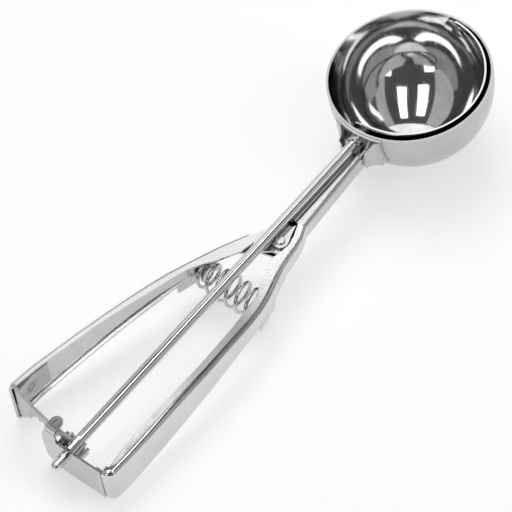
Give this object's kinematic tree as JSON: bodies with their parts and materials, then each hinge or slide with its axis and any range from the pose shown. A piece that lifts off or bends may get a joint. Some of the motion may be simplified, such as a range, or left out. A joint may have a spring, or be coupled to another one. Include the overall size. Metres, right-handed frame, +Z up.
{
  "type": "squeeze-handle food scoop",
  "caption": "Stainless steel scoop with a round bowl, a sprung squeeze lever and a rack-driven blade that sweeps the bowl clean.",
  "frame": {"origin": "centre of the bounding box's base; the scoop lies at rest on its bowl and on the ends of its grips", "axes": "+Y along the scoop from the grips to the bowl, +Z up out of the bowl's opening, +X from the sprung lever towards the fixed grip"},
  "size_m": [0.058, 0.2168, 0.0369],
  "materials": {
    "polished_steel": "polished stainless steel",
    "pressed_steel": "polished pressed sheet steel with fine grain",
    "plate_steel": "cut and tumbled steel plate",
    "pin_steel": "turned steel",
    "spring_steel": "bright drawn wire"
  },
  "bodies": {
    "frame": {"bowl": "polished_steel", "bowl_saddle": "pressed_steel", "shank": "pressed_steel", "fixed_grip": "pressed_steel", "end_plate": "plate_steel", "pivot_pin": "pin_steel", "far_rivet": "pin_steel", "rod_bearing": "pin_steel", "spring": "spring_steel", "spring_stud_fixed": "pressed_steel"},
    "squeeze_lever": {"lever": "pressed_steel", "lever_rack": "plate_steel", "spring_stud_lever": "pressed_steel"},
    "scraper": {"rod": "polished_steel", "pinion": "plate_steel", "blade": "polished_steel", "rod_collar": "pin_steel"}
  },
  "joints": [
    {"name": "lever_swing", "type": "hinge", "parent": "frame", "child": "squeeze_lever", "pos_m": [0.00384, 0.00508, 0.0159], "axis": [0, -0.0937, 0.9956], "range_deg": [0, 6.6], "stiffness_Nm_per_rad": 10, "springref_deg": -3.44, "deforming": ["spring"]},
    {"name": "rod_spin", "type": "hinge", "parent": "frame", "child": "scraper", "pos_m": [0.00054, -0.01038, 0.02007], "axis": [0, 0.9956, 0.0937], "range_deg": [0, 162]}
  ],
  "couplings": [
    {"joint": "rod_spin", "follows": "lever_swing", "ratio": 24.494}
  ]
}
